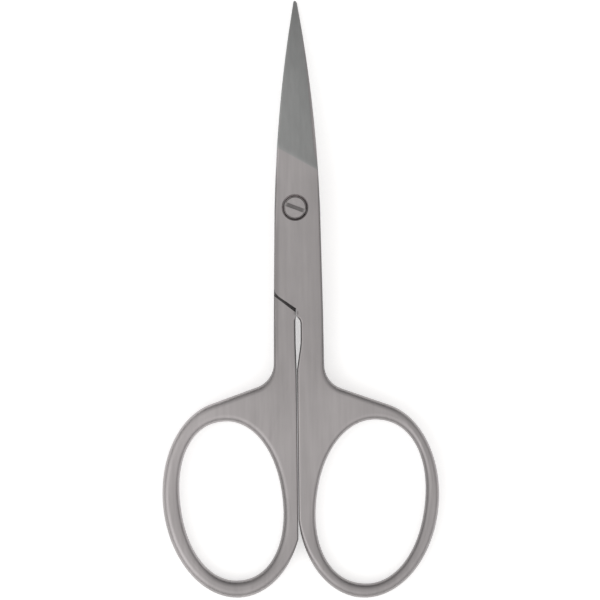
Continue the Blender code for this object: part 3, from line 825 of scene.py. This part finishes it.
def hole_places(nodes, half, x, y):
    """How far out a point lies, in sizes of the ring's hole, and how far it is to the hole's right."""
    hole = ring_hole(half.ring)
    x = nodes.math("SUBTRACT", x, half.side * hole.x)
    y = nodes.math("SUBTRACT", y, hole.y)
    c, s = math.cos(hole.tilt), half.side * math.sin(hole.tilt)
    across = nodes.math("DIVIDE", nodes.weighted((c, -s), x, y), hole.a)
    along = nodes.math("DIVIDE", nodes.weighted((s, c), x, y), hole.b)
    return {"times the hole": nodes.distance(across, along),
            "hole's right": nodes.math("DIVIDE", nodes.weighted(HOLE_SHADED_SIDE, x, y), nodes.distance(x, y))}


# A half's tone, with painted shade in the shoulder's gap, round the rings' holes and along the edges,
# painted light in the screw's groove, and painted light and shade in broad patches
def half_tone(nodes, half, shared):
    places = half_places(nodes, shared)
    holes = hole_places(nodes, half, places["x"], places["y"])
    painted_shade = nodes.math("MAXIMUM", nodes.ramped(places, SHOULDER_PAINTED_SHADE),
                      nodes.ramped(places, SHOULDER_FOOT_PAINTED_SHADE))
    light_and_shade = nodes.fold("ADD", [nodes.ramped(places, patch) for patch in PAINTED_LIGHT_AND_SHADE])
    edges = nodes.fold("MINIMUM", [nodes.ramped(places, edge) for edge in PAINTED_EDGE_SHADE])
    return nodes.fold("MULTIPLY", [nodes.math("SUBTRACT", 1.0, painted_shade),
                                   nodes.math("ADD", 1.0, nodes.ramped(places, RECESS_PAINTED_LIGHT)),
                                   nodes.math("ADD", 1.0, light_and_shade),
                                   nodes.math("ADD", 1.0, edges),
                                   nodes.math("SUBTRACT", 1.0, nodes.ramped(holes, HOLE_RIM_PAINTED_SHADE))])


# The screw's tone, with painted shade in its slot and painted light on its head's rim
def screw_tone(nodes, places):
    return nodes.math("MULTIPLY", nodes.math("SUBTRACT", 1.0, nodes.ramped(places, SLOT_PAINTED_SHADE)),
                      nodes.math("ADD", 1.0, nodes.ramped(places, HEAD_RIM_PAINTED_LIGHT)))


def ground_share(nodes, half, places):
    """1 on the blade's ground face, 0 elsewhere: past the grind's line and above the inner face."""
    slope = (GRIND_BACK_Y - GRIND_EDGE_Y) / (half_width(GRIND_BACK_Y) + half_width(GRIND_EDGE_Y))
    line = nodes.weighted((half.side * slope, 1.0), places["x"], places["y"])
    start = GRIND_BACK_Y + (half.offset - half_width(GRIND_BACK_Y)) * slope
    past = nodes.ranged(line, start - GROUND_LINE_BLUR, start + GROUND_LINE_BLUR, 0.0, 1.0)
    along = nodes.math("SUBTRACT", nodes.math("MAXIMUM", places["y"], BEND_START), BEND_START)
    squared = nodes.math("SUBTRACT", BEND_RADIUS ** 2, nodes.math("MULTIPLY", along, along))
    lap_plane = nodes.math("SUBTRACT", nodes.math("SQRT", squared), BEND_RADIUS - HALF_THICKNESS)
    height = nodes.math("MULTIPLY", nodes.math("SUBTRACT", places["z"], lap_plane), half.side)
    return nodes.math("MULTIPLY", past, nodes.ranged(height, *GROUND_HEIGHTS, 0.0, 1.0))


def steel(name, finish, half=None):
    """Bare steel: a lengthwise grain, a fine matt speckle, broad tone changes, light marks and wear, and
    light and shade painted into its colour.

    A half's ground face is a little darker and less warm than the rest.
    """
    material, nodes, shader = new_material(name)
    where = nodes.node("ShaderNodeTexCoord").outputs["Object"]
    streaks = nodes.noise(where, finish.streaks)
    speckle = nodes.noise(where, SPECKLE)
    clouds = nodes.noise(where, finish.clouds)
    marks = nodes.noise(where, MARKS)
    places = shared_places(nodes, where)

    uneven = nodes.math("ADD", nodes.ranged(clouds, *NOISE_SPAN, *CLOUD_TONES),
                        nodes.ranged(streaks, *NOISE_SPAN, *STREAK_TONES))
    tone = half_tone(nodes, half, places) if half else screw_tone(nodes, places)
    colour = nodes.vector("MULTIPLY", STEEL_COLOUR, nodes.math("MULTIPLY", uneven, tone))
    if half:
        change = nodes.vector("MULTIPLY", GROUND_CHANGE, ground_share(nodes, half, places))
        colour = nodes.vector("MULTIPLY", colour, nodes.vector("ADD", UNCHANGED, change))
    nodes.put(shader, "Base Color", colour)
    nodes.put(shader, "Metallic", 1.0)
    rough = nodes.ranged(speckle, *NOISE_SPAN, finish.roughness - SPECKLE_ROUGHNESS,
                         finish.roughness + SPECKLE_ROUGHNESS)
    worn = nodes.ranged(marks, *MARKS_SPAN, 0.0, MARKS_ROUGHNESS)
    nodes.put(shader, "Roughness", nodes.math("ADD", rough, worn))

    height = nodes.weighted((finish.grain_depth, SPECKLE_DEPTH * finish.grain_depth), streaks, speckle)
    bump = nodes.node("ShaderNodeBump", Height=height, Distance=1.0, Strength=1.0)
    nodes.put(shader, "Normal", bump.outputs[0])
    return material


# Stage

SKY_LEVEL = 0.84
SKY_LEAN = (-0.18, -0.36, 0.0)    # how much brighter it is towards each axis
SKY_SIDES = (0.50, -0.18, 0.0)    # and towards both ends of each axis
SKY_RISE = 0.7                    # the height over the horizon at which the sky is at its full level
SKY_FOOT = 0.1                    # its level at the horizon, as a share of that
SKY_COLOUR = (1.0, 0.985, 0.975, 1.0)
LAMP_POWER = 0.45
LAMP_SIZE = 0.5
LAMP_PLACE = (-0.55, -0.30, 0.60)

FLOOR_REACH = 3.0
FLOOR_DROP = 0.03 * MM            # under the two places where the scissors rest on it
TIPS = Vector((0.0, 31.2 * MM, -3.4 * MM))
RING_ENDS = Vector((0.0, -57.5 * MM, 0.1 * MM))
FLOOR_COLOUR = (0.90, 0.90, 0.90, 1.0)
FLOOR_ROUGHNESS = 0.9
FLOOR_GLOW = 0.45                 # only where rays from the camera or a shiny surface meet it
WHITE = (1.0, 1.0, 1.0, 1.0)


def add_floor():
    """The white table that the scissors lie on, with their tips and the ends of their rings."""
    mesh = bmesh.new()
    bmesh.ops.create_grid(mesh, x_segments=1, y_segments=1, size=FLOOR_REACH)
    floor = as_object("floor", mesh)
    floor.location = RING_ENDS - Vector((0.0, 0.0, FLOOR_DROP))
    floor.rotation_euler = (math.atan2(TIPS.z - RING_ENDS.z, TIPS.y - RING_ENDS.y), 0.0, 0.0)

    material, nodes, shader = new_material("white_table")
    rays = nodes.node("ShaderNodeLightPath").outputs
    seen = nodes.fold("MAXIMUM", [rays["Is Camera Ray"], rays["Is Glossy Ray"],
                                  rays["Is Transmission Ray"]])
    nodes.put(shader, "Base Color", FLOOR_COLOUR)
    nodes.put(shader, "Roughness", FLOOR_ROUGHNESS)
    nodes.put(shader, "Specular IOR Level", 0.0)
    nodes.put(shader, "Emission Color", WHITE)
    nodes.put(shader, "Emission Strength", nodes.math("MULTIPLY", seen, FLOOR_GLOW))
    floor.data.materials.append(material)


def add_light():
    """A soft sky, brightest to the left and dim near the horizon, and one large lamp on the left."""
    world = bpy.data.worlds.new("soft_sky")
    world.use_nodes = True
    bpy.context.scene.world = world
    nodes = Nodes(world.node_tree)
    where = nodes.node("ShaderNodeTexCoord").outputs["Generated"]
    lean = nodes.dot(where, SKY_LEAN)
    sides = nodes.dot(nodes.vector("MULTIPLY", where, where), SKY_SIDES)
    level = nodes.fold("ADD", [lean, sides, SKY_LEVEL])
    rise = nodes.ranged(nodes.split(where)[2], 0.0, SKY_RISE, SKY_FOOT, 1.0, "SMOOTHSTEP")
    background = world.node_tree.nodes["Background"]
    nodes.put(background, "Strength", nodes.math("MULTIPLY", level, rise))
    nodes.put(background, "Color", SKY_COLOUR)

    data = bpy.data.lights.new("window", "AREA")
    data.shape = "SQUARE"
    data.size = LAMP_SIZE
    data.energy = LAMP_POWER
    lamp = bpy.data.objects.new("window", data)
    bpy.context.scene.collection.objects.link(lamp)
    lamp.location = LAMP_PLACE
    lamp.rotation_euler = (-Vector(LAMP_PLACE)).to_track_quat("-Z", "Y").to_euler()


def add_camera():
    data = bpy.data.cameras.new("camera")
    data.lens = LENS
    data.sensor_width = SENSOR
    data.clip_start = CLIP_START
    camera = bpy.data.objects.new("camera", data)
    bpy.context.scene.collection.objects.link(camera)
    right = Vector((math.cos(ROLL), -math.sin(ROLL), 0.0))
    up = Vector((math.sin(ROLL), math.cos(ROLL), 0.0))
    middle = IMAGE_SIDE / 2
    aim = right * (middle - PIVOT_PIXEL[0]) * PIXEL - up * (middle - PIVOT_PIXEL[1]) * PIXEL
    distance = IMAGE_SIDE * PIXEL * LENS / SENSOR
    camera.location = aim + Vector((0.0, 0.0, HALF_THICKNESS + distance))
    camera.rotation_euler = (0.0, 0.0, -ROLL)
    bpy.context.scene.camera = camera


# The scissors

add_camera()
add_floor()
add_light()
bpy.context.scene.view_settings.view_transform = "Standard"

front_satin = steel("front_satin_steel", SATIN, FRONT)
back_satin = steel("back_satin_steel", SATIN, BACK)
screw_steel = steel("screw_steel", TURNED)

front = smooth(carved(half_blank("forged_front_half", FRONT), lap_cutter("front_lap_cutter", FRONT),
                      countersink_cutter()))
front.data.materials.append(front_satin)
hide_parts("front_half")
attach(front, "front")

back = smooth(carved(half_blank("forged_back_half", BACK), lap_cutter("back_lap_cutter", BACK),
                     thread_cutter()))
back.data.materials.append(back_satin)
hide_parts("back_half")
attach(back, "back")

screw = smooth(pivot_screw())
screw.data.materials.append(screw_steel)
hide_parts("pivot_screw")
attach(screw, "back")
